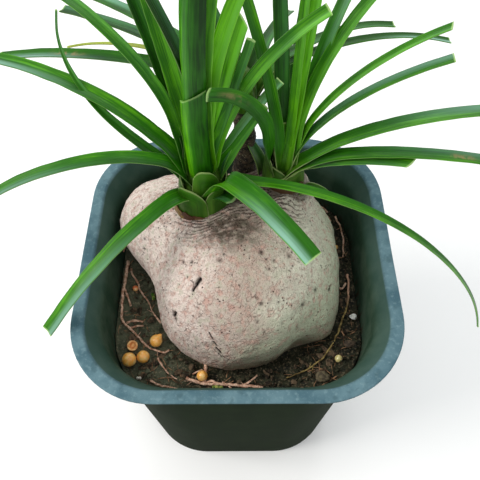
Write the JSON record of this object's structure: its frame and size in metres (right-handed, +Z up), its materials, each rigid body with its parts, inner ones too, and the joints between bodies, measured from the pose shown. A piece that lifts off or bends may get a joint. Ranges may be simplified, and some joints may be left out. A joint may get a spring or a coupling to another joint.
{
  "type": "potted ponytail palm",
  "caption": "Ponytail palm with a swollen woody base and trimmed strap leaves, growing in a small square plastic nursery pot.",
  "frame": {"origin": "centre of the pot's underside, on the surface it stands on", "axes": "+Z up; -Y is the side of the pot that faces the viewer; +X to the viewer's right"},
  "size_m": [0.2043, 0.1548, 0.2331],
  "materials": {
    "pot_plastic": "satin moulded polypropylene, dusty on the rim",
    "soil": "damp crumbly potting mix",
    "bark": "corky pinkish-beige bark with pits and rings",
    "leaf": "smooth waxy strap leaves",
    "root": "dry thin roots",
    "feed_pellet": "resin-coated feed pellets",
    "perlite": "white mineral grains",
    "pebble": "small brown bark chips and stones"
  },
  "bodies": {
    "root": {"pot": "pot_plastic", "soil": "soil", "caudex": "bark", "rosette_left": "leaf", "rosette_right": "leaf", "rosette_rear": "leaf", "root_left": "root", "root_inner": "root", "root_thin": "root", "root_front": "root", "root_front_low": "root", "root_right": "root", "root_rear": "root", "pellet_1": "feed_pellet", "pellet_2": "feed_pellet", "pellet_3": "feed_pellet", "pellet_4": "feed_pellet", "pellet_5": "feed_pellet", "pellet_6": "feed_pellet", "pellet_7": "feed_pellet", "pellet_husk": "feed_pellet", "perlite_1": "perlite", "perlite_2": "perlite", "pebble_1": "pebble", "pebble_2": "pebble"}
  },
  "joints": []
}
